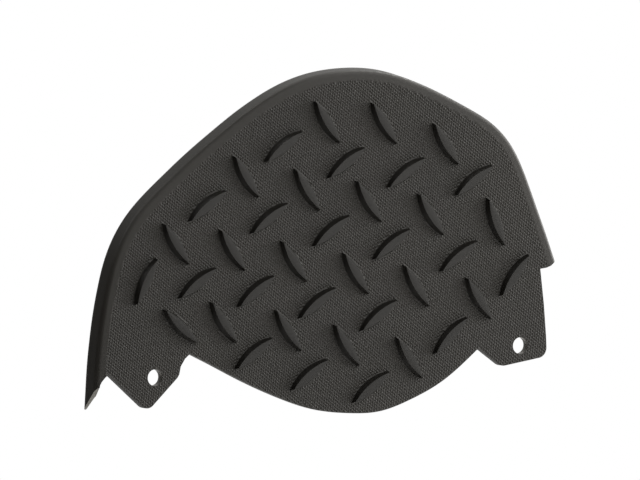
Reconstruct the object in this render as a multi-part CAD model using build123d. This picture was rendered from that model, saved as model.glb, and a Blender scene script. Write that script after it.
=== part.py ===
from build123d import *
import math
import os

# Kick shield: one moulded tread-pattern plastic panel with a turned-back rim,
# two fixing tabs and thirty-eight raised lozenges.
#
# Frame (mm): the origin is midway between the two fixing holes, on the flat
# back face that lies against the machine.  +X runs along the hole line, +Z is
# up in the plane of the panel and -Y is the tread side.

# ---- driving dimensions (mm, degrees) ----
HOLE_SPACING = 184.0        # between the two fixing holes
HOLE_DIA = 7.2
SHEET_T = 3.5               # panel thickness
RIM_DEPTH = 8.5             # tread face to the free edge of the rim
RIM_ROOT_T = 2.0            # rim wall where it leaves the panel
RIM_EDGE_T = 1.5            # rim wall at its free edge
SHOULDER_W = 2.43           # plain, slightly sloped band round the tread face
SHOULDER_SLOPE = 6.0        # slope of that band
SHOULDER_R = 2.17           # outer bend radius from the band to the rim wall
RIM_DRAFT = 5.0             # outward flare of the rim wall
LOZ_LEN = 22.9              # lozenge, tip to tip
LOZ_W = 6.3                 # lozenge width at the tread face
LOZ_TOP_LEN = 21.0          # flat crest, tip to tip
LOZ_TOP_W = 3.7
LOZ_H = 2.5                 # lozenge height above the tread face
END_CUT_Z = -2.04           # slanted left end of the rim: height at the tread face
END_CUT_SLOPE = 1.2         # ... and how much lower per mm further back

FRONT_Y = -SHEET_T          # plane of the tread face

# Edge of the tread face where the plain band begins, from the right end over
# the crown to the left end (x, z).  It runs on below both ends, and the lower
# profile trims it.
FACE_EDGE = [
    (110.4, 24.9), (107.0, 35.3), (103.5, 45.7), (99.8, 56.0), (96.1, 66.3),
    (92.1, 76.5), (86.8, 86.1), (79.3, 94.0), (70.2, 100.0), (60.6, 105.4),
    (50.9, 110.5), (41.0, 115.0), (30.7, 118.8), (20.0, 121.0), (9.1, 121.7),
    (-1.9, 121.2), (-12.6, 119.3), (-23.1, 115.9), (-33.0, 111.4), (-42.6, 106.2),
    (-52.0, 100.4), (-61.2, 94.5), (-70.2, 88.3), (-79.0, 81.8), (-87.7, 75.1),
    (-95.7, 67.7), (-102.3, 59.0), (-107.1, 49.2), (-110.4, 38.7), (-113.0, 28.1),
    (-115.0, 17.3), (-116.6, 6.5), (-117.7, -4.4), (-118.8, -15.3), (-120.1, -26.2),
]

# Lower profile of the panel (x, z)
RIGHT_END = [(116.0, 41.0), (113.4, 37.6), (110.9, 35.0), (108.7, 33.5), (106.3, 32.8), (103.3, 32.55)]
RIGHT_SIDE = [(103.4, 31.2), (104.55, 17.2), (105.2, 3.2), (105.3, -5.6)]
RIGHT_TAB_BOTTOM_LEFT = (82.3, -8.3)
RIGHT_NOTCH = (71.1, 0.45)
ARC = [(60.9, -7.1), (51.9, -12.7), (35.6, -19.4), (20.1, -23.2), (4.8, -22.8),
       (-9.6, -20.6), (-26.8, -14.7), (-51.5, -3.0), (-63.0, 3.25)]
LEFT_NOTCH = (-74.0, 9.0)
LEFT_TAB_RIGHT = [(-76.6, 7.0), (-78.8, 3.9), (-79.7, 0.4), (-80.7, -1.0)]
LEFT_TAB_TIP = (-96.2, -14.55)
END_NOTCH = (-115.2, 3.1)
END_NOTCH_LEFT = [(-117.2, 1.6), (-118.6, 0.2), (-119.5, -1.2), (-119.9, -2.8)]
TAB_TIP_R = 4.2
TAB_CORNER_R = 4.5

# Lozenges (x, z, angle from +X in the plane of the panel)
LOZ = [
    (-2.4, 104.4, -58.0), (26.2, 101.8, -58.0), (-24.7, 95.5, 32.6), (6.6, 86.2, 32.6),
    (56.9, 90.5, -58.0), (-43.9, 83.8, -58.4), (36.5, 79.6, 31.6), (70.4, 73.6, 31.8),
    (-63.7, 72.7, 32.8), (-13.4, 75.8, -58.2), (17.4, 68.4, -57.8), (-32.8, 65.0, 32.4),
    (-1.8, 57.2, 32.7), (48.3, 60.5, -57.8), (80.8, 54.8, -70.6), (-80.1, 57.3, -57.2),
    (-51.9, 52.5, -57.8), (-21.1, 45.2, -57.2), (28.2, 49.1, 32.6), (61.8, 41.4, 32.3),
    (-95.6, 42.2, 60.1), (-69.8, 39.6, 32.4), (9.8, 37.6, -57.7), (40.1, 29.9, -58.0),
    (89.6, 30.9, 49.4), (-40.6, 33.8, 33.4), (-10.0, 26.4, 32.7), (71.1, 22.2, -58.4),
    (-79.1, 21.4, -44.4), (-57.3, 21.4, -56.9), (-25.0, 15.4, -57.0), (20.7, 18.7, 33.1),
    (56.5, 7.2, 41.0), (-42.5, 6.9, 33.5), (4.2, 6.8, -57.7), (35.4, -1.0, -57.0),
    (-14.9, -4.5, 33.1), (15.9, -12.2, 33.1),
]


def normals(points):
    """Outward normals of the edge; it runs anticlockwise seen from the tread side."""
    out = []
    for i in range(len(points)):
        a = points[max(i - 1, 0)]
        b = points[min(i + 1, len(points) - 1)]
        tx, tz = b[0] - a[0], b[1] - a[1]
        n = math.hypot(tx, tz)
        out.append((tz / n, -tx / n))
    return out


EDGE_N = normals(FACE_EDGE)
FLOOR_Z = -60.0


def section(offset, depth):
    """Closed wire: the face edge moved out by offset, at depth behind the tread face."""
    y = FRONT_Y + depth
    pts = [Vector(p[0] + offset * n[0], y, p[1] + offset * n[1]) for p, n in zip(FACE_EDGE, EDGE_N)]
    low_r = Vector(pts[0].X, y, FLOOR_Z)
    low_l = Vector(pts[-1].X, y, FLOOR_Z)
    curve = Edge.make_spline(pts)
    return Wire([curve, Edge.make_line(pts[-1], low_l), Edge.make_line(low_l, low_r), Edge.make_line(low_r, pts[0])])


def shell_outer():
    s = math.radians(SHOULDER_SLOPE)
    d = math.radians(RIM_DRAFT)
    x0, h0 = SHOULDER_W, SHOULDER_W * math.tan(s)
    stations = [(0.0, 0.0), (x0, h0)]
    steps = 4
    for i in range(1, steps + 1):
        t = s + (math.pi / 2 - d - s) * i / steps
        stations.append((x0 + SHOULDER_R * (math.sin(t) - math.sin(s)), h0 + SHOULDER_R * (math.cos(s) - math.cos(t))))
    xe, he = stations[-1]
    stations.append((xe + (RIM_DEPTH - he) * math.tan(d), RIM_DEPTH))
    return Solid.make_loft([section(o, h) for o, h in stations], ruled=True), stations


def rim_offset(stations, depth):
    for (o0, h0), (o1, h1) in zip(stations, stations[1:]):
        if h0 <= depth <= h1:
            return o0 + (o1 - o0) * (depth - h0) / (h1 - h0)
    (o0, h0), (o1, h1) = stations[-2:]
    return o0 + (o1 - o0) * (depth - h0) / (h1 - h0)


def prism(points, y0, y1):
    """Closed prism from an (x, z) polygon, between y0 and y1."""
    wire = Wire.make_polygon([Vector(x, y0, z) for x, z in points], close=True)
    return Solid.extrude(Face(wire), Vector(0, y1 - y0, 0))


def rounded(corner, before, after, radius, steps=8):
    """Points of a rounded corner."""
    c, a, b = Vector(corner[0], 0, corner[1]), Vector(before[0], 0, before[1]), Vector(after[0], 0, after[1])
    u, v = (a - c).normalized(), (b - c).normalized()
    half = math.acos(max(-1.0, min(1.0, u.dot(v)))) / 2
    run = radius / math.tan(half)
    mid = c + (u + v).normalized() * (radius / math.sin(half))
    p0, p1 = c + u * run, c + v * run
    out = []
    for i in range(steps + 1):
        t = i / steps
        w = (p0 - mid) * (1 - t) + (p1 - mid) * t
        q = mid + w.normalized() * radius
        out.append((q.X, q.Z))
    return out


def spline_points(points, per=4):
    """Points along a smooth curve through the given ones."""
    curve = Edge.make_spline([Vector(x, 0, z) for x, z in points])
    n = per * (len(points) - 1)
    return [((curve @ (i / n)).X, (curve @ (i / n)).Z) for i in range(n + 1)]


def lower_profile():
    pts = list(RIGHT_END)
    pts += RIGHT_SIDE[:-1]
    pts += rounded(RIGHT_SIDE[-1], RIGHT_SIDE[-2], RIGHT_TAB_BOTTOM_LEFT, TAB_CORNER_R)
    pts += rounded(RIGHT_TAB_BOTTOM_LEFT, RIGHT_SIDE[-1], RIGHT_NOTCH, TAB_CORNER_R)
    pts += spline_points([RIGHT_NOTCH] + ARC + [LEFT_NOTCH])
    pts += LEFT_TAB_RIGHT
    pts += rounded(LEFT_TAB_TIP, LEFT_TAB_RIGHT[-1], END_NOTCH, TAB_TIP_R)
    pts.append(END_NOTCH)
    pts += END_NOTCH_LEFT
    pts += [(END_NOTCH_LEFT[-1][0], FLOOR_Z + 8), (-150.0, FLOOR_Z + 8), (-150.0, 150.0), (150.0, 150.0), (150.0, 41.0)]
    return pts


def vesica(length, width, y):
    """Pointed oval of two arcs in the plane y, centred on the Y axis, long along X."""
    a, b, m = Vector(-length / 2, y, 0), Vector(length / 2, y, 0), width / 2
    return Wire([
        Edge.make_three_point_arc(a, Vector(0, y, m), b),
        Edge.make_three_point_arc(b, Vector(0, y, -m), a),
    ])


def lozenge():
    sink = 0.4
    return Solid.make_loft([
        vesica(LOZ_LEN, LOZ_W, FRONT_Y + sink),
        vesica(LOZ_LEN, LOZ_W, FRONT_Y),
        vesica(LOZ_TOP_LEN, LOZ_TOP_W, FRONT_Y - LOZ_H),
    ], ruled=True)


def shield_panel():
    body, stations = shell_outer()
    root = rim_offset(stations, SHEET_T) - RIM_ROOT_T
    edge = rim_offset(stations, RIM_DEPTH) - RIM_EDGE_T
    grow = (edge - root) / (RIM_DEPTH - SHEET_T)
    over = 1.0
    hollow = Solid.make_loft([section(root, SHEET_T), section(edge + grow * over, RIM_DEPTH + over)], ruled=True)
    body = body - hollow
    body = body & prism(lower_profile(), -20, 20)
    # slanted left end of the rim
    y0, y1 = -12.0, 12.0
    z0 = END_CUT_Z - END_CUT_SLOPE * (y0 - FRONT_Y)
    z1 = END_CUT_Z - END_CUT_SLOPE * (y1 - FRONT_Y)
    wire = Wire.make_polygon([Vector(-140, y0, z0), Vector(-140, y1, z1), Vector(-140, y1, -80), Vector(-140, y0, -80)], close=True)
    body = body - Solid.extrude(Face(wire), Vector(24.0, 0, 0))
    # fixing holes
    for sx in (-1, 1):
        drill = Solid.make_cylinder(HOLE_DIA / 2, 30, Plane(origin=(sx * HOLE_SPACING / 2, -15, 0), z_dir=(0, 1, 0)))
        body = body - drill
    one = lozenge()
    studs = [one.rotate(Axis.Y, -a).translate(Vector(x, 0, z)) for x, z, a in LOZ]
    body = body.fuse(*studs) if hasattr(body, "fuse") else body + studs
    return body


part = shield_panel()
solids = list(part.solids())
solids.sort(key=lambda s: -s.volume)
part = solids[0]

os.makedirs("parts", exist_ok=True)
part.label = "shield_panel"
export_step(part, "parts/shield_panel.step")
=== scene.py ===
import bpy
import bmesh
import math
import numpy as np
from mathutils import Vector, Matrix
from mathutils.geometry import delaunay_2d_cdt


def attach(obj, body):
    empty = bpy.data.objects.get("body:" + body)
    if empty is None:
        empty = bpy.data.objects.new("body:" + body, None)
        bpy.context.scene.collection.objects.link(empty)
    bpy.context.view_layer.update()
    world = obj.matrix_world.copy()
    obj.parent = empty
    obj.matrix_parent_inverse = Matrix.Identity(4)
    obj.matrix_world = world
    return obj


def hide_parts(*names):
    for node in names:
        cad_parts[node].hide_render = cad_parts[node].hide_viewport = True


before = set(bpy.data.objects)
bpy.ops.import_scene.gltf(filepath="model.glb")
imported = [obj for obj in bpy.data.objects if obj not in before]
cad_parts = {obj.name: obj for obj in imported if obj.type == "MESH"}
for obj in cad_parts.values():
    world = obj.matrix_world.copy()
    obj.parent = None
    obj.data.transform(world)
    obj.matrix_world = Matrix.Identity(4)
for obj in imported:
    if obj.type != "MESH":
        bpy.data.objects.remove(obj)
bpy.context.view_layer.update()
MM = 0.001

# ---------------------------------------------------------------- dimensions
SHEET_T = 3.5
FRONT_Y = -SHEET_T
HOLE_X = 92.0
HOLE_R = 3.6
RIM_DEPTH = 8.5
ROOT_T, EDGE_T = 2.0, 1.5
SHOULDER_W, SHOULDER_SLOPE, SHOULDER_R, RIM_DRAFT = 2.43, 6.0, 2.17, 5.0
EDGE_ROUND = 0.12
END_CUT_Z, END_CUT_SLOPE = -2.04, 1.2

FACE_EDGE = [
    (110.4, 24.9), (107.0, 35.3), (103.5, 45.7), (99.8, 56.0), (96.1, 66.3),
    (92.1, 76.5), (86.8, 86.1), (79.3, 94.0), (70.2, 100.0), (60.6, 105.4),
    (50.9, 110.5), (41.0, 115.0), (30.7, 118.8), (20.0, 121.0), (9.1, 121.7),
    (-1.9, 121.2), (-12.6, 119.3), (-23.1, 115.9), (-33.0, 111.4), (-42.6, 106.2),
    (-52.0, 100.4), (-61.2, 94.5), (-70.2, 88.3), (-79.0, 81.8), (-87.7, 75.1),
    (-95.7, 67.7), (-102.3, 59.0), (-107.1, 49.2), (-110.4, 38.7), (-113.0, 28.1),
    (-115.0, 17.3), (-116.6, 6.5), (-117.7, -4.4), (-118.8, -15.3), (-120.1, -26.2),
]
RIGHT_END = [(116.0, 41.0), (113.4, 37.6), (110.9, 35.0), (108.7, 33.5), (106.3, 32.8), (103.3, 32.55)]
RIGHT_SIDE = [(103.4, 31.2), (104.55, 17.2), (105.2, 3.2), (105.3, -5.6)]
RIGHT_TAB_BOTTOM_LEFT = (82.3, -8.3)
RIGHT_NOTCH = (71.1, 0.45)
ARC = [(60.9, -7.1), (51.9, -12.7), (35.6, -19.4), (20.1, -23.2), (4.8, -22.8),
       (-9.6, -20.6), (-26.8, -14.7), (-51.5, -3.0), (-63.0, 3.25)]
LEFT_NOTCH = (-74.0, 9.0)
LEFT_TAB_RIGHT = [(-76.6, 7.0), (-78.8, 3.9), (-79.7, 0.4), (-80.7, -1.0)]
LEFT_TAB_TIP = (-96.2, -14.55)
END_NOTCH = (-115.2, 3.1)
END_NOTCH_LEFT = [(-117.2, 1.6), (-118.6, 0.2), (-119.5, -1.2), (-119.9, -2.8)]
TAB_TIP_R, TAB_CORNER_R = 4.2, 4.5

LOZ = [
    (-2.4, 104.4, -58.0), (26.2, 101.8, -58.0), (-24.7, 95.5, 32.6), (6.6, 86.2, 32.6),
    (56.9, 90.5, -58.0), (-43.9, 83.8, -58.4), (36.5, 79.6, 31.6), (70.4, 73.6, 31.8),
    (-63.7, 72.7, 32.8), (-13.4, 75.8, -58.2), (17.4, 68.4, -57.8), (-32.8, 65.0, 32.4),
    (-1.8, 57.2, 32.7), (48.3, 60.5, -57.8), (80.8, 54.8, -70.6), (-80.1, 57.3, -57.2),
    (-51.9, 52.5, -57.8), (-21.1, 45.2, -57.2), (28.2, 49.1, 32.6), (61.8, 41.4, 32.3),
    (-95.6, 42.2, 60.1), (-69.8, 39.6, 32.4), (9.8, 37.6, -57.7), (40.1, 29.9, -58.0),
    (89.6, 30.9, 49.4), (-40.6, 33.8, 33.4), (-10.0, 26.4, 32.7), (71.1, 22.2, -58.4),
    (-79.1, 21.4, -44.4), (-57.3, 21.4, -56.9), (-25.0, 15.4, -57.0), (20.7, 18.7, 33.1),
    (56.5, 7.2, 41.0), (-42.5, 6.9, 33.5), (4.2, 6.8, -57.7), (35.4, -1.0, -57.0),
    (-14.9, -4.5, 33.1), (15.9, -12.2, 33.1),
]
LOZ_LEN, LOZ_W, LOZ_TOP_LEN, LOZ_TOP_W, LOZ_H = 22.9, 6.3, 21.0, 3.7, 2.5
# grain of the tread face
GRAIN_PITCH = 1.34
GRAIN_ROW_DEG = 79.3
GRAIN_UP, GRAIN_DOWN = 0.17, 0.14


# ---------------------------------------------------------------- plain geometry helpers
def natural_spline(points):
    """Natural cubic spline through points, by chord length: returns t, a function of t -> (p, dp)."""
    P = np.array(points, float)
    t = np.r_[0.0, np.cumsum(np.linalg.norm(np.diff(P, axis=0), axis=1))]
    n = len(P)
    h = np.diff(t)
    A = np.zeros((n, n))
    B = np.zeros((n, 2))
    A[0, 0] = A[-1, -1] = 1.0
    for i in range(1, n - 1):
        A[i, i - 1], A[i, i], A[i, i + 1] = h[i - 1], 2 * (h[i - 1] + h[i]), h[i]
        B[i] = 6 * ((P[i + 1] - P[i]) / h[i] - (P[i] - P[i - 1]) / h[i - 1])
    M = np.linalg.solve(A, B)

    def ev(x):
        x = np.atleast_1d(np.asarray(x, float))
        i = np.clip(np.searchsorted(t, x, side="right") - 1, 0, n - 2)
        a = (t[i + 1] - x)[:, None]
        b = (x - t[i])[:, None]
        H = h[i][:, None]
        p = (M[i] * a ** 3 + M[i + 1] * b ** 3) / (6 * H) + (P[i] / H - M[i] * H / 6) * a + (P[i + 1] / H - M[i + 1] * H / 6) * b
        d = (-M[i] * a ** 2 + M[i + 1] * b ** 2) / (2 * H) - (P[i] / H - M[i] * H / 6) + (P[i + 1] / H - M[i + 1] * H / 6)
        return p, d
    return t, ev


def spline_points(points, step):
    t, ev = natural_spline(points)
    n = max(2, int(round(t[-1] / step)))
    return [tuple(p) for p in ev(np.linspace(0, t[-1], n + 1))[0]]


def line_points(a, b, step):
    a, b = np.array(a), np.array(b)
    n = max(1, int(round(np.linalg.norm(b - a) / step)))
    return [tuple(a + (b - a) * i / n) for i in range(1, n)]


def rounded(corner, before, after, radius, steps=10):
    c, a, b = np.array(corner), np.array(before), np.array(after)
    u, v = (a - c) / np.linalg.norm(a - c), (b - c) / np.linalg.norm(b - c)
    half = math.acos(max(-1.0, min(1.0, float(u @ v)))) / 2
    run = radius / math.tan(half)
    w = (u + v) / np.linalg.norm(u + v)
    mid = c + w * radius / math.sin(half)
    p0, p1 = c + u * run, c + v * run
    out = []
    for i in range(steps + 1):
        q = (p0 - mid) * (1 - i / steps) + (p1 - mid) * (i / steps)
        out.append(tuple(mid + q / np.linalg.norm(q) * radius))
    return out


def with_steps(points, step):
    out = [points[0]]
    for a, b in zip(points, points[1:]):
        out += line_points(a, b, step)
        out.append(b)
    return out


def mesh_object(name, verts, faces):
    me = bpy.data.meshes.new(name)
    me.from_pydata([tuple(float(c) * MM for c in v) for v in verts], [], faces)
    me.validate()
    ob = bpy.data.objects.new(name, me)
    bpy.context.scene.collection.objects.link(ob)
    return ob


# ---------------------------------------------------------------- 1. shell: face, band, bend, rim wall
def rim_path():
    """(offset from the face edge, depth behind the tread face) from the tread face round to the back face."""
    s, d = math.radians(SHOULDER_SLOPE), math.radians(RIM_DRAFT)
    x0, h0 = SHOULDER_W, SHOULDER_W * math.tan(s)
    path = [(x0 * i / 4, h0 * i / 4) for i in range(5)]
    steps = 12
    for i in range(1, steps + 1):
        t = s + (math.pi / 2 - d - s) * i / steps
        path.append((x0 + SHOULDER_R * (math.sin(t) - math.sin(s)), h0 + SHOULDER_R * (math.cos(s) - math.cos(t))))
    xe, he = path[-1]

    def outer(h):
        return xe + (h - he) * math.tan(d)
    r1, r2 = 0.75, 0.55
    for i in range(1, 5):
        h = he + (RIM_DEPTH - r1 - he) * i / 4
        path.append((outer(h), h))
    for i in range(1, 6):                                   # outer corner of the free edge
        a = math.pi / 2 * i / 5
        path.append((outer(RIM_DEPTH - r1) - r1 * (1 - math.cos(a)), RIM_DEPTH - r1 + r1 * math.sin(a)))
    inner_edge = outer(RIM_DEPTH) - EDGE_T
    for i in range(0, 5):                                   # inner corner
        a = math.pi / 2 * i / 4
        path.append((inner_edge + r2 * (1 - math.sin(a)), RIM_DEPTH - r2 * (1 - math.cos(a))))
    root = outer(SHEET_T) - ROOT_T
    r3 = 0.9
    for i in range(1, 4):
        f = i / 3
        path.append((inner_edge + (root - inner_edge) * f * 0.95, RIM_DEPTH - r2 + (SHEET_T + r3 - RIM_DEPTH + r2) * f))
    for i in range(1, 6):                                   # fillet to the back face
        a = math.pi / 2 * i / 5
        path.append((root - r3 * (1 - math.cos(a)), SHEET_T + r3 * (1 - math.sin(a))))
    return path


def build_shell():
    t, ev = natural_spline(FACE_EDGE)
    n = int(t[-1] / 0.9)
    P, D = ev(np.linspace(0, t[-1], n + 1))
    T = D / np.linalg.norm(D, axis=1)[:, None]
    N = np.stack([T[:, 1], -T[:, 0]], 1)
    floor = -60.0
    path = rim_path()
    verts = []
    rows = []
    for w, h in path:
        Q = P + w * N
        row = [(Q[0][0], floor)] + [tuple(q) for q in Q] + [(Q[-1][0], floor)]
        rows.append(range(len(verts), len(verts) + len(row)))
        verts += [(x, FRONT_Y + h, z) for x, z in row]
    faces = []
    m = len(rows[0])
    for a, b in zip(rows, rows[1:]):
        for i in range(m - 1):
            faces.append((a[i], a[i + 1], b[i + 1], b[i]))
    faces.append(tuple(rows[0][i] for i in reversed(range(m))))
    faces.append(tuple(rows[-1][i] for i in range(m)))
    faces.append(tuple([r[0] for r in rows] + [r[-1] for r in reversed(rows)]))
    ob = mesh_object("shell_work", verts, faces)
    bm = bmesh.new()
    bm.from_mesh(ob.data)
    bmesh.ops.recalc_face_normals(bm, faces=bm.faces)
    bm.to_mesh(ob.data)
    bm.free()
    return ob


def lower_profile():
    """(x, z, edge rounding 0..1) round the trimming outline."""
    step = 1.2
    pts = [(p[0], p[1], 0.0) for p in RIGHT_END[:-2]] + [(RIGHT_END[-2][0], RIGHT_END[-2][1], 0.35)]
    body = [RIGHT_END[-1]] + RIGHT_SIDE[:-1]
    body += rounded(RIGHT_SIDE[-1], RIGHT_SIDE[-2], RIGHT_TAB_BOTTOM_LEFT, TAB_CORNER_R)
    body += rounded(RIGHT_TAB_BOTTOM_LEFT, RIGHT_SIDE[-1], RIGHT_NOTCH, TAB_CORNER_R)
    body = with_steps(body, step)
    body += spline_points([RIGHT_NOTCH] + ARC + [LEFT_NOTCH], step)
    body = body + [LEFT_NOTCH]
    tab = [LEFT_NOTCH] + LEFT_TAB_RIGHT + rounded(LEFT_TAB_TIP, LEFT_TAB_RIGHT[-1], END_NOTCH, TAB_TIP_R) + [END_NOTCH]
    body += with_steps(tab, step)[1:]
    pts += [(x, z, 1.0) for x, z in body]
    pts += [(x, z, k) for (x, z), k in zip(END_NOTCH_LEFT, (0.7, 0.35, 0.15, 0.0))]
    pts += [(END_NOTCH_LEFT[-1][0], -52.0, 0.0), (-150.0, -52.0, 0.0), (-150.0, 150.0, 0.0), (150.0, 150.0, 0.0), (150.0, 41.0, 0.0)]
    out = [pts[0]]
    for p in pts[1:]:
        if math.hypot(p[0] - out[-1][0], p[1] - out[-1][1]) > 0.05:
            out.append(p)
    return out


def prism_with_rounding():
    pts = lower_profile()
    n = len(pts)
    nx = []
    for i in range(n):
        a, b, c = pts[i - 1], pts[i], pts[(i + 1) % n]
        t1 = np.array([b[0] - a[0], b[1] - a[1]])
        t2 = np.array([c[0] - b[0], c[1] - b[1]])
        t1 /= np.linalg.norm(t1)
        t2 /= np.linalg.norm(t2)
        m1, m2 = np.array([t1[1], -t1[0]]), np.array([t2[1], -t2[0]])
        m = m1 + m2
        m /= max(np.linalg.norm(m), 0.5)
        nx.append(m / max(float(m @ m1), 0.5) * 1.0)
    area = sum(pts[i - 1][0] * pts[i][1] - pts[i][0] * pts[i - 1][1] for i in range(n)) / 2
    sign = 1.0 if area > 0 else -1.0                # outward normal sign
    r = EDGE_ROUND
    stations = [(-20.0, 1.0)]
    for k in range(0, 5):
        a = math.pi / 2 * k / 4
        stations.append((FRONT_Y + r * (1 - math.cos(a)), 1 - math.sin(a)))
    for k in range(0, 5):
        a = math.pi / 2 * k / 4
        stations.append((-r + r * math.sin(a), 1 - math.cos(a)))
    stations.append((20.0, 1.0))
    verts, rows = [], []
    for y, f in stations:
        rows.append(range(len(verts), len(verts) + n))
        for (x, z, k), m in zip(pts, nx):
            verts.append((x - sign * m[0] * r * f * k, y, z - sign * m[1] * r * f * k))
    faces = []
    for a, b in zip(rows, rows[1:]):
        for i in range(n):
            j = (i + 1) % n
            faces.append((a[i], a[j], b[j], b[i]))
    faces.append(tuple(reversed(rows[0])))
    faces.append(tuple(rows[-1]))
    ob = mesh_object("trim_work", verts, faces)
    bm = bmesh.new()
    bm.from_mesh(ob.data)
    bmesh.ops.recalc_face_normals(bm, faces=bm.faces)
    bm.to_mesh(ob.data)
    bm.free()
    return ob


def end_wedge():
    y0, y1 = -12.0, 12.0
    z0 = END_CUT_Z - END_CUT_SLOPE * (y0 - FRONT_Y)
    z1 = END_CUT_Z - END_CUT_SLOPE * (y1 - FRONT_Y)
    v = []
    for x in (-140.0, -116.0):
        v += [(x, y0, z0), (x, y1, z1), (x, y1, -80.0), (x, y0, -80.0)]
    f = [(0, 1, 2, 3), (7, 6, 5, 4), (0, 4, 5, 1), (1, 5, 6, 2), (2, 6, 7, 3), (3, 7, 4, 0)]
    ob = mesh_object("wedge_work", v, f)
    bm = bmesh.new()
    bm.from_mesh(ob.data)
    bmesh.ops.recalc_face_normals(bm, faces=bm.faces)
    bm.to_mesh(ob.data)
    bm.free()
    return ob


def drill(x):
    r = EDGE_ROUND
    prof = [(-12.0, HOLE_R + r)]
    for k in range(0, 5):
        a = math.pi / 2 * k / 4
        prof.append((FRONT_Y + r * (1 - math.cos(a)), HOLE_R + r * (1 - math.sin(a))))
    for k in range(0, 5):
        a = math.pi / 2 * k / 4
        prof.append((-r + r * math.sin(a), HOLE_R + r * (1 - math.cos(a))))
    prof.append((12.0, HOLE_R + r))
    seg = 72
    verts, rows = [], []
    for y, rr in prof:
        rows.append(range(len(verts), len(verts) + seg))
        verts += [(x + rr * math.cos(2 * math.pi * i / seg), y, rr * math.sin(2 * math.pi * i / seg)) for i in range(seg)]
    faces = []
    for a, b in zip(rows, rows[1:]):
        for i in range(seg):
            j = (i + 1) % seg
            faces.append((a[i], a[j], b[j], b[i]))
    faces.append(tuple(reversed(rows[0])))
    faces.append(tuple(rows[-1]))
    ob = mesh_object("drill_work", verts, faces)
    bm = bmesh.new()
    bm.from_mesh(ob.data)
    bmesh.ops.recalc_face_normals(bm, faces=bm.faces)
    bm.to_mesh(ob.data)
    bm.free()
    return ob


def boolean(ob, cutter, op):
    mod = ob.modifiers.new("b", "BOOLEAN")
    mod.operation = op
    mod.solver = "EXACT"
    mod.object = cutter
    dg = bpy.context.evaluated_depsgraph_get()
    me = bpy.data.meshes.new_from_object(ob.evaluated_get(dg))
    ob.modifiers.clear()
    old = ob.data
    ob.data = me
    bpy.data.meshes.remove(old)
    cm = cutter.data
    bpy.data.objects.remove(cutter)
    bpy.data.meshes.remove(cm)


# ---------------------------------------------------------------- 2. tread face: grain and lozenges
def inside(poly, pts):
    """Vectorised even-odd test."""
    x, y = pts[:, 0], pts[:, 1]
    res = np.zeros(len(pts), bool)
    n = len(poly)
    for i in range(n):
        x1, y1 = poly[i - 1]
        x2, y2 = poly[i]
        if y1 == y2:
            continue
        c = (y1 > y) != (y2 > y)
        if not c.any():
            continue
        xi = (x2 - x1) * (y - y1) / (y2 - y1) + x1
        res ^= c & (x < xi)
    return res


def dist_to_loops(loops, pts, limit):
    """Distance from each point to the nearest loop edge, capped at limit (grid-hashed)."""
    best = np.full(len(pts), limit)
    for loop in loops:
        L = np.array(loop)
        A, B = L, np.roll(L, -1, axis=0)
        for a, b in zip(A, B):
            lo, hi = np.minimum(a, b) - limit, np.maximum(a, b) + limit
            m = (pts[:, 0] > lo[0]) & (pts[:, 0] < hi[0])
            idx = np.nonzero(m)[0]
            if len(idx) == 0:
                continue
            idx = idx[(pts[idx, 1] > lo[1]) & (pts[idx, 1] < hi[1])]
            if len(idx) == 0:
                continue
            ab = b - a
            q = pts[idx] - a
            s = np.clip((q @ ab) / max(float(ab @ ab), 1e-12), 0, 1)
            d = np.linalg.norm(q - s[:, None] * ab, axis=1)
            best[idx] = np.minimum(best[idx], d)
    return best


def vesica(length, width, n):
    """2n points of a pointed oval, anticlockwise from the +u tip; local (u, v)."""
    hl, hw = length / 2, width / 2
    if hw < 1e-6:
        top = [(hl * math.cos(math.pi * i / n), 0.0) for i in range(n)]
        bot = [(-hl * math.cos(math.pi * i / n), 0.0) for i in range(n)]
        return top + bot
    R = (hl * hl + hw * hw) / (2 * hw)
    half = math.asin(min(1.0, hl / R))
    out = []
    for i in range(n):
        a = half - 2 * half * i / n
        out.append((R * math.sin(a), R * math.cos(a) - (R - hw)))
    for i in range(n):
        a = -half + 2 * half * i / n
        out.append((R * math.sin(a), -(R * math.cos(a) - (R - hw))))
    return out


def lozenge_rings():
    """(length, width, height) of the rings of one lozenge from its foot to its crest."""
    crown = 0.05
    hs = LOZ_H - crown

    def side(f, h):
        return (LOZ_LEN + (LOZ_TOP_LEN - LOZ_LEN) * f, LOZ_W + (LOZ_TOP_W - LOZ_W) * f, h * hs)
    return [side(0, 0), side(0.05, 0.02), side(0.13, 0.10), side(0.5, 0.5), side(0.9, 0.9),
            side(1.0, 1.0), (LOZ_TOP_LEN - 0.2, LOZ_TOP_W - 0.16, hs + crown * 0.10),
            (LOZ_TOP_LEN - 1.3, LOZ_TOP_W * 0.70, hs + crown * 0.45), (LOZ_TOP_LEN - 3.5, LOZ_TOP_W * 0.42, hs + crown * 0.78),
            (LOZ_TOP_LEN - 6.0, LOZ_TOP_W * 0.18, hs + crown * 0.96), (LOZ_TOP_LEN - 7.5, 0.0, LOZ_H)]


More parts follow.
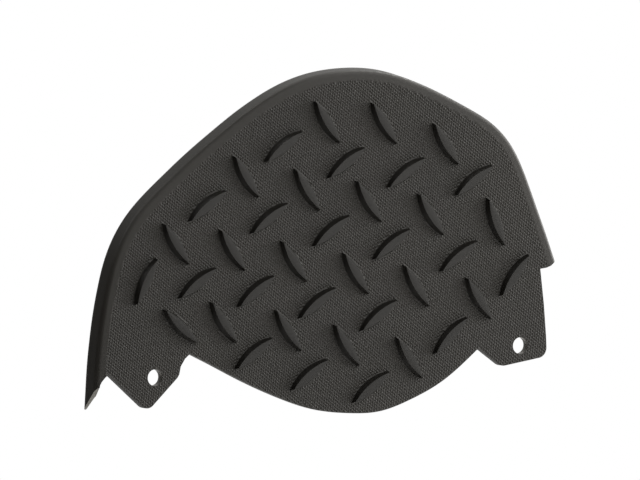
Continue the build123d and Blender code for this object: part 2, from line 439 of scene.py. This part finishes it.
def tread_face(bm):
    """Replace the flat tread face by the grained face with its lozenges."""
    y0 = FRONT_Y * MM
    flat = [f for f in bm.faces if all(abs(v.co.y - y0) < 2e-7 for v in f.verts) and f.normal.y < -0.99]
    fs = set(flat)
    edges = {e for f in flat for e in f.edges if sum(1 for g in e.link_faces if g in fs) == 1}
    bmesh.ops.delete(bm, geom=flat, context="FACES_ONLY")
    loose = [e for e in bm.edges if not e.link_faces]
    bmesh.ops.delete(bm, geom=loose, context="EDGES")
    loosev = [v for v in bm.verts if not v.link_edges]
    bmesh.ops.delete(bm, geom=loosev, context="VERTS")
    edges = [e for e in bm.edges if len(e.link_faces) == 1]
    adj = {}
    for e in edges:
        a, b = e.verts
        adj.setdefault(a, []).append(b)
        adj.setdefault(b, []).append(a)
    loops, seen = [], set()
    for v in adj:
        if v in seen:
            continue
        loop, cur, prev = [v], v, None
        seen.add(v)
        while True:
            nx = [w for w in adj[cur] if w is not prev and w not in seen]
            if not nx:
                break
            prev, cur = cur, nx[0]
            seen.add(cur)
            loop.append(cur)
        loops.append(loop)
    loops.sort(key=lambda l: -len(l))
    print("tread loops", [len(l) for l in loops])

    pts2, vert_of, cons = [], [], []
    poly = []
    for loop in loops:
        base = len(pts2)
        for v in loop:
            pts2.append((v.co.x / MM, v.co.z / MM))
            vert_of.append(v)
        n = len(loop)
        cons += [(base + i, base + (i + 1) % n) for i in range(n)]
        poly.append([pts2[base + i] for i in range(n)])
    outer = max(poly, key=lambda p: (max(q[0] for q in p) - min(q[0] for q in p)))
    holes = [p for p in poly if p is not outer]

    # lozenges: rings of new vertices, the foot ring shared with the face
    N = 22
    loz_shape = lozenge_rings()
    loz_polys = []
    loz_faces = []
    for x, z, deg in LOZ:
        c, s = math.cos(math.radians(deg)), math.sin(math.radians(deg))
        rings = []
        for L, W, H in loz_shape:
            ring = []
            for u, v in vesica(L, W, N):
                ring.append((x + u * c - v * s, z + u * s + v * c, H))
            rings.append(ring)
        base = len(pts2)
        foot = []
        for px, pz, h in rings[0]:
            vv = bm.verts.new((px * MM, y0, pz * MM))
            pts2.append((px, pz))
            vert_of.append(vv)
            foot.append(vv)
        m = len(foot)
        cons += [(base + i, base + (i + 1) % m) for i in range(m)]
        loz_polys.append([(p[0], p[1]) for p in rings[0]])
        prev = foot
        for ring in rings[1:-1]:
            cur = [bm.verts.new((px * MM, y0 - h * MM, pz * MM)) for px, pz, h in ring]
            for i in range(m):
                j = (i + 1) % m
                loz_faces.append((prev[i], prev[j], cur[j], cur[i]))
            prev = cur
        # crest: the last ring is a line shared by both sides
        last = rings[-1]
        crest = [bm.verts.new((last[i][0] * MM, y0 - last[i][2] * MM, last[i][1] * MM)) for i in range(N + 1 if N + 1 < m else N)]
        for i in range(N):
            loz_faces.append((prev[i], prev[i + 1], crest[i + 1], crest[i]))
        for i in range(N):
            a, b = N + i, (N + i + 1) % m
            loz_faces.append((prev[a], prev[b], crest[N - i - 1], crest[N - i]))

    # grain lattice
    lp = GRAIN_PITCH
    a1 = np.array([math.cos(math.radians(GRAIN_ROW_DEG)), math.sin(math.radians(GRAIN_ROW_DEG))]) * lp
    r60 = math.radians(GRAIN_ROW_DEG - 60)
    a2 = np.array([math.cos(r60), math.sin(r60)]) * lp
    c0 = np.array([0.0, 45.0])
    K = int(160 / lp)
    ii, jj = np.meshgrid(np.arange(-K, K + 1), np.arange(-K, K + 1), indexing="ij")
    size = 2 * K + 1
    apex = c0 + ii[..., None] * a1 + jj[..., None] * a2
    up = apex + (a1 + a2) / 3.0
    dn = apex + (2 * a1 - a2) / 3.0
    lat = np.concatenate([apex.reshape(-1, 2), up.reshape(-1, 2), dn.reshape(-1, 2)])
    kind = np.repeat([0, 1, 2], size * size)
    box_lo = np.array(outer).min(0)
    box_hi = np.array(outer).max(0)
    cand = np.nonzero((lat[:, 0] > box_lo[0]) & (lat[:, 0] < box_hi[0]) & (lat[:, 1] > box_lo[1]) & (lat[:, 1] < box_hi[1]))[0]
    P = lat[cand]
    ok = inside(outer, P)
    for h in holes + loz_polys:
        hb0, hb1 = np.array(h).min(0), np.array(h).max(0)
        near = np.nonzero((P[:, 0] > hb0[0]) & (P[:, 0] < hb1[0]) & (P[:, 1] > hb0[1]) & (P[:, 1] < hb1[1]))[0]
        if len(near):
            ok[near] &= ~inside(h, P[near])
    cand, P = cand[ok], P[ok]
    d = dist_to_loops([outer] + holes + loz_polys, P, 1.2)
    margin = np.where(kind[cand] == 0, 0.30, 0.16)
    keep = d > margin
    cand, P, d = cand[keep], P[keep], d[keep]
    ids = {int(c): i for i, c in enumerate(cand)}
    nn = size * size

    def lid(k, i, j):
        if i < 0 or j < 0 or i >= size or j >= size:
            return -1
        return k * nn + i * size + j
    # the six valley points round an apex, in order
    tris = []
    crossing = d < 0.78
    for c in cand:
        c = int(c)
        if c >= nn:
            continue
        i, j = divmod(c, size)
        ring = [lid(1, i, j), lid(2, i, j), lid(1, i, j - 1), lid(2, i - 1, j), lid(1, i - 1, j), lid(2, i - 1, j + 1)]
        ring = [ids.get(r, -1) for r in ring]
        a = ids[c]
        for k in range(6):
            p, q = ring[k], ring[(k + 1) % 6]
            if p < 0 or q < 0:
                continue
            tris.append((a, p, q))
    tris = np.array(tris)
    # signed areas and edge lengths of the hexagon triangles, printed below
    A, B, C = P[tris[:, 0]], P[tris[:, 1]], P[tris[:, 2]]
    ar = (B[:, 0] - A[:, 0]) * (C[:, 1] - A[:, 1]) - (B[:, 1] - A[:, 1]) * (C[:, 0] - A[:, 0])
    elen = np.linalg.norm(B - C, axis=1)
    print("grain: dots", int((cand < nn).sum()), "triangles", len(tris), "edge", elen.min(), elen.max(), "area", ar.min(), ar.max())
    # drop triangles that a boundary line crosses
    risky = crossing[tris].any(axis=1)
    ridx = np.nonzero(risky)[0]
    bad = np.zeros(len(tris), bool)
    samples = []
    for loop in [outer] + holes + loz_polys:
        L = np.array(loop)
        Q = np.roll(L, -1, axis=0)
        for k in range(4):
            samples.append(L + (Q - L) * (k / 4))
    samples = np.concatenate(samples)
    cell = 1.0
    grid = {}
    for k, s in enumerate(samples):
        grid.setdefault((int(math.floor(s[0] / cell)), int(math.floor(s[1] / cell))), []).append(k)
    for t in ridx:
        tri = P[tris[t]]
        lo, hi = tri.min(0), tri.max(0)
        hit = False
        for gx in range(int(math.floor(lo[0] / cell)), int(math.floor(hi[0] / cell)) + 1):
            for gz in range(int(math.floor(lo[1] / cell)), int(math.floor(hi[1] / cell)) + 1):
                ks = grid.get((gx, gz))
                if not ks:
                    continue
                S = samples[ks]
                s1 = (tri[1][0] - tri[0][0]) * (S[:, 1] - tri[0][1]) - (tri[1][1] - tri[0][1]) * (S[:, 0] - tri[0][0])
                s2 = (tri[2][0] - tri[1][0]) * (S[:, 1] - tri[1][1]) - (tri[2][1] - tri[1][1]) * (S[:, 0] - tri[1][0])
                s3 = (tri[0][0] - tri[2][0]) * (S[:, 1] - tri[2][1]) - (tri[0][1] - tri[2][1]) * (S[:, 0] - tri[2][0])
                if (((s1 >= 0) & (s2 >= 0) & (s3 >= 0)) | ((s1 <= 0) & (s2 <= 0) & (s3 <= 0))).any():
                    hit = True
                    break
            if hit:
                break
        bad[t] = hit
    tris = tris[~bad]
    print("grain: dropped", int(bad.sum()))

    # lattice vertices in bmesh
    hgt = np.where(kind[cand] == 0, GRAIN_UP, -GRAIN_DOWN)
    lv = [bm.verts.new((float(p[0]) * MM, y0 - float(h) * MM, float(p[1]) * MM)) for p, h in zip(P, hgt)]
    for a, b, c in tris:
        bm.faces.new((lv[a], lv[b], lv[c]))

    # gap between the kept lattice and the outlines
    cnt = {}
    for a, b, c in tris:
        for e in ((a, b), (b, c), (c, a)):
            k = (min(e), max(e))
            cnt[k] = cnt.get(k, 0) + 1
    border = [e for e, n in cnt.items() if n == 1]
    used = np.zeros(len(P), bool)
    used[tris.reshape(-1)] = True
    want = set(int(i) for e in border for i in e) | set(int(i) for i in np.nonzero(~used)[0])
    want = sorted(want)
    idx2 = {}
    for i in want:
        idx2[i] = len(pts2)
        pts2.append((float(P[i][0]), float(P[i][1])))
        vert_of.append(lv[i])
    cons += [(idx2[int(a)], idx2[int(b)]) for a, b in border]
    print("cdt points", len(pts2), "edges", len(cons))
    ov, oe, of_, orv, ore, orf = delaunay_2d_cdt([Vector(p) for p in pts2], cons, [], 0, 1e-7, True)
    print("cdt out", len(ov), len(of_))
    cen = np.array([(sum(ov[k][0] for k in f) / 3, sum(ov[k][1] for k in f) / 3) for f in of_])
    good = inside(outer, cen)
    for h in holes + loz_polys:
        hb0, hb1 = np.array(h).min(0), np.array(h).max(0)
        near = np.nonzero((cen[:, 0] > hb0[0]) & (cen[:, 0] < hb1[0]) & (cen[:, 1] > hb0[1]) & (cen[:, 1] < hb1[1]))[0]
        if len(near):
            good[near] &= ~inside(h, cen[near])
    # inside the kept lattice?  find the lattice triangle of the centroid
    inv = np.linalg.inv(np.array([a1, a2]).T)
    kept = set()
    for a, b, c in tris:
        kept.add(tuple(sorted((int(cand[a]), int(cand[b]), int(cand[c])))))
    made = 0
    for f, c, g in zip(of_, cen, good):
        if not g:
            continue
        uv = inv @ (c - c0)
        bi, bj = int(round(uv[0])) + K, int(round(uv[1])) + K
        best, bd = None, 1e9
        for di in (-1, 0, 1):
            for dj in (-1, 0, 1):
                i, j = bi + di, bj + dj
                if 0 <= i < size and 0 <= j < size:
                    dd = float(np.hypot(*(apex[i, j] - c)))
                    if dd < bd:
                        bd, best = dd, (i, j)
        i, j = best
        ring = [lid(1, i, j), lid(2, i, j), lid(1, i, j - 1), lid(2, i - 1, j), lid(1, i - 1, j), lid(2, i - 1, j + 1)]
        inside_kept = False
        ap = apex[i, j]
        for k in range(6):
            p, q = ring[k], ring[(k + 1) % 6]
            if p < 0 or q < 0:
                continue
            tp, tq = lat[p], lat[q]
            s1 = (tp[0] - ap[0]) * (c[1] - ap[1]) - (tp[1] - ap[1]) * (c[0] - ap[0])
            s2 = (tq[0] - tp[0]) * (c[1] - tp[1]) - (tq[1] - tp[1]) * (c[0] - tp[0])
            s3 = (ap[0] - tq[0]) * (c[1] - tq[1]) - (ap[1] - tq[1]) * (c[0] - tq[0])
            if (s1 >= 0 and s2 >= 0 and s3 >= 0) or (s1 <= 0 and s2 <= 0 and s3 <= 0):
                if tuple(sorted((i * size + j, p, q))) in kept:
                    inside_kept = True
                break
        if inside_kept:
            continue
        vs = []
        for k in f:
            o = orv[k]
            vs.append(vert_of[o[0]] if o else None)
        if None in vs or len(set(vs)) < 3:
            continue
        try:
            bm.faces.new(vs)
            made += 1
        except ValueError:
            pass
    print("gap faces", made)
    for f in loz_faces:
        if len(set(f)) == len(f):
            nf = bm.faces.new(f)
        else:
            u = []
            for v in f:
                if v not in u:
                    u.append(v)
            nf = bm.faces.new(u)
        nf.smooth = True
        nf.material_index = 1
    for v in [v for v in bm.verts if not v.link_faces]:
        bm.verts.remove(v)


def mark_cut_faces_painted_reflection(bm):
    """Drilled bores and the slanted cut end of the rim: painted reflection, a pale colour that stands in for the white
    backdrop reflected at grazing angles.
    """
    for f in bm.faces:
        c = f.calc_center_median() / MM
        n = f.normal
        if abs(n.y) < 0.3 and min(math.hypot(c.x - HOLE_X, c.z), math.hypot(c.x + HOLE_X, c.z)) < HOLE_R + 0.12:
            f.material_index = 2
        elif c.x < -116.0 and abs(c.z - (END_CUT_Z - END_CUT_SLOPE * (c.y - FRONT_Y))) < 0.03 and n.z < -0.4 and n.y < -0.4:
            f.material_index = 2


def build_panel():
    shell = build_shell()
    boolean(shell, prism_with_rounding(), "INTERSECT")
    boolean(shell, end_wedge(), "DIFFERENCE")
    for sx in (-1, 1):
        boolean(shell, drill(sx * HOLE_X), "DIFFERENCE")
    bm = bmesh.new()
    bm.from_mesh(shell.data)
    bmesh.ops.remove_doubles(bm, verts=bm.verts, dist=2e-6)
    for f in bm.faces:
        f.smooth = True
    mark_cut_faces_painted_reflection(bm)
    tread_face(bm)
    bmesh.ops.recalc_face_normals(bm, faces=bm.faces)
    openb = [e for e in bm.edges if len(e.link_faces) != 2]
    print("open or shared edges", len(openb), "faces", len(bm.faces))
    me = bpy.data.meshes.new("tread_panel")
    bm.to_mesh(me)
    bm.free()
    me.set_sharp_from_angle(angle=math.radians(24))
    back = [abs(p.normal.y) > 0.99999 and abs(p.center.y) < 1e-6 for p in me.polygons]
    side = {}
    for p in me.polygons:
        for k in p.edge_keys:
            side.setdefault(k, set()).add(back[p.index])
    for e in me.edges:                                  # the flat back shades flat up to its edges
        if len(side[e.key]) == 2:
            e.use_edge_sharp = True
    ob = bpy.data.objects.new("tread_panel", me)
    bpy.context.scene.collection.objects.link(ob)
    om = shell.data
    bpy.data.objects.remove(shell)
    bpy.data.meshes.remove(om)
    return ob


# ---------------------------------------------------------------- materials
def plastic(name, base, rough, seed):
    mat = bpy.data.materials.new(name)
    mat.use_nodes = True
    nt = mat.node_tree
    nt.nodes.clear()
    out = nt.nodes.new("ShaderNodeOutputMaterial")
    bsdf = nt.nodes.new("ShaderNodeBsdfPrincipled")
    nt.links.new(bsdf.outputs[0], out.inputs[0])
    bsdf.inputs["IOR"].default_value = 1.47
    tc = nt.nodes.new("ShaderNodeTexCoord")
    mp = nt.nodes.new("ShaderNodeMapping")
    mp.inputs["Location"].default_value = (seed, seed * 0.7, seed * 1.3)
    nt.links.new(tc.outputs["Object"], mp.inputs["Vector"])
    broad = nt.nodes.new("ShaderNodeTexNoise")
    broad.inputs["Scale"].default_value = 18.0
    broad.inputs["Detail"].default_value = 3.0
    fine = nt.nodes.new("ShaderNodeTexNoise")
    fine.inputs["Scale"].default_value = 900.0
    fine.inputs["Detail"].default_value = 2.0
    nt.links.new(mp.outputs[0], broad.inputs["Vector"])
    nt.links.new(mp.outputs[0], fine.inputs["Vector"])
    ramp = nt.nodes.new("ShaderNodeValToRGB")
    ramp.color_ramp.elements[0].position = 0.3
    ramp.color_ramp.elements[1].position = 0.72
    ramp.color_ramp.elements[0].color = (base[0] * 0.9, base[1] * 0.9, base[2] * 0.9, 1)
    ramp.color_ramp.elements[1].color = (base[0] * 1.12, base[1] * 1.12, base[2] * 1.12, 1)
    nt.links.new(broad.outputs["Fac"], ramp.inputs["Fac"])
    nt.links.new(ramp.outputs["Color"], bsdf.inputs["Base Color"])
    mr = nt.nodes.new("ShaderNodeMapRange")
    mr.inputs["From Min"].default_value = 0.3
    mr.inputs["From Max"].default_value = 0.7
    mr.inputs["To Min"].default_value = rough - 0.04
    mr.inputs["To Max"].default_value = rough + 0.04
    nt.links.new(fine.outputs["Fac"], mr.inputs["Value"])
    nt.links.new(mr.outputs["Result"], bsdf.inputs["Roughness"])
    bump = nt.nodes.new("ShaderNodeBump")
    bump.inputs["Strength"].default_value = 0.12
    bump.inputs["Distance"].default_value = 0.0001
    nt.links.new(fine.outputs["Fac"], bump.inputs["Height"])
    nt.links.new(bump.outputs["Normal"], bsdf.inputs["Normal"])
    return mat


panel = build_panel()
panel.data.materials.append(plastic("moulded_plastic_grained", (0.0196, 0.0173, 0.0137), 0.53, 3.1))
panel.data.materials.append(plastic("moulded_plastic_smooth", (0.0110, 0.0097, 0.0077), 0.44, 7.7))
# pale colour on the bores and the slanted cut end: painted reflection of the white backdrop at grazing angles
panel.data.materials.append(plastic("cut_faces_painted_reflection", (0.150, 0.142, 0.125), 0.36, 11.3))
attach(panel, "root")
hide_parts("shield_panel")

# ---------------------------------------------------------------- floor, light, camera
fl = bpy.data.meshes.new("floor")
R = 1.1
fl.from_pydata([(R * math.cos(2 * math.pi * i / 96), R * math.sin(2 * math.pi * i / 96), -0.34) for i in range(96)], [], [tuple(range(96))])
floor = bpy.data.objects.new("floor", fl)
bpy.context.scene.collection.objects.link(floor)
fm = bpy.data.materials.new("floor_paper")
fm.use_nodes = True
fm.node_tree.nodes["Principled BSDF"].inputs["Base Color"].default_value = (0.82, 0.82, 0.82, 1)
fm.node_tree.nodes["Principled BSDF"].inputs["Roughness"].default_value = 0.8
fl.materials.append(fm)

world = bpy.data.worlds.new("studio")
bpy.context.scene.world = world
world.use_nodes = True
wn = world.node_tree
wn.nodes.clear()
wo = wn.nodes.new("ShaderNodeOutputWorld")
bgc = wn.nodes.new("ShaderNodeBackground")
bgc.inputs["Color"].default_value = (1, 1, 1, 1)
bgc.inputs["Strength"].default_value = 1.0
bgl = wn.nodes.new("ShaderNodeBackground")
bgl.inputs["Color"].default_value = (1, 1, 1, 1)
tcw = wn.nodes.new("ShaderNodeTexCoord")
dotn = wn.nodes.new("ShaderNodeVectorMath")
dotn.operation = "DOT_PRODUCT"
dotn.inputs[1].default_value = (0.5057, 0.8568, -0.1001)      # straight away from the viewer, in the row frame
wn.links.new(tcw.outputs["Generated"], dotn.inputs[0])
mrw = wn.nodes.new("ShaderNodeMapRange")
mrw.interpolation_type = "SMOOTHSTEP"
mrw.inputs["From Min"].default_value = 0.25
mrw.inputs["From Max"].default_value = 0.85
AMBIENT, BACKDROP = 0.01, 0.53
mrw.inputs["To Min"].default_value = AMBIENT
mrw.inputs["To Max"].default_value = AMBIENT + BACKDROP
wn.links.new(dotn.outputs["Value"], mrw.inputs["Value"])
wn.links.new(mrw.outputs["Result"], bgl.inputs["Strength"])
lp = wn.nodes.new("ShaderNodeLightPath")
mx = wn.nodes.new("ShaderNodeMixShader")
wn.links.new(lp.outputs["Is Camera Ray"], mx.inputs[0])
wn.links.new(bgl.outputs[0], mx.inputs[1])
wn.links.new(bgc.outputs[0], mx.inputs[2])
wn.links.new(mx.outputs[0], wo.inputs[0])

CAM_R = Vector((0.8594, -0.5105, -0.0285)).normalized()
CAM_U = Vector((0.0755, 0.0716, 0.9945))
CAM_U = (CAM_U - CAM_R * CAM_U.dot(CAM_R)).normalized()
CAM_DIR = CAM_R.cross(CAM_U).normalized()
VIEW_WIDTH = 640 * 0.4330 * MM                  # the view is 640 picture elements wide
dist = 2.0


def area(name, direction, size, power, distance=1.2, color=(1.0, 0.99, 0.966)):
    """Soft light, its direction given in camera axes (right, up, towards the camera)."""
    li = bpy.data.lights.new(name, "AREA")
    li.shape = "DISK"
    li.size = size
    li.energy = power
    li.color = color
    ob = bpy.data.objects.new(name, li)
    bpy.context.scene.collection.objects.link(ob)
    d = (CAM_R * direction[0] + CAM_U * direction[1] + CAM_DIR * direction[2]).normalized()
    target = Vector((0.0, 0.0, 0.05))
    ob.location = target + d * distance
    ob.rotation_euler = (-d).to_track_quat("-Z", "Y").to_euler()
    return ob


area("right", (0.86, 0.22, 0.30), 1.2, 5.6)
area("right_high", (0.70, 0.60, 0.35), 1.2, 4.8)
area("right_back", (0.85, 0.10, -0.50), 1.2, 17.0)
area("top_left", (-0.50, 0.85, 0.10), 1.2, 3.2)
area("top_back", (0.10, 0.80, -0.60), 1.2, 2.5)
area("rim_top_right", (0.504, 0.759, -0.412), 0.35, 6.5)
area("rim_top", (-0.104, 0.994, -0.028), 0.35, 2.3)
area("rim_top_left", (-0.697, 0.653, 0.295), 0.35, 1.2)
area("upper_front", (0.17, 0.45, 0.88), 0.35, 1.4)

# the point of the frame's centre, on the plane of the tread face
centre = Vector((-7.1, -3.5, 53.5)) * MM
cam_data = bpy.data.cameras.new("camera")
cam_data.type = "ORTHO"
cam_data.ortho_scale = VIEW_WIDTH
cam_data.clip_start = 0.05
cam_data.clip_end = 20.0
cam = bpy.data.objects.new("camera", cam_data)
bpy.context.scene.collection.objects.link(cam)
rot = Matrix((CAM_R, CAM_U, CAM_DIR)).transposed()
cam.matrix_world = Matrix.Translation(centre + CAM_DIR * dist) @ rot.to_4x4()
bpy.context.scene.camera = cam
bpy.context.scene.view_settings.view_transform = "Standard"
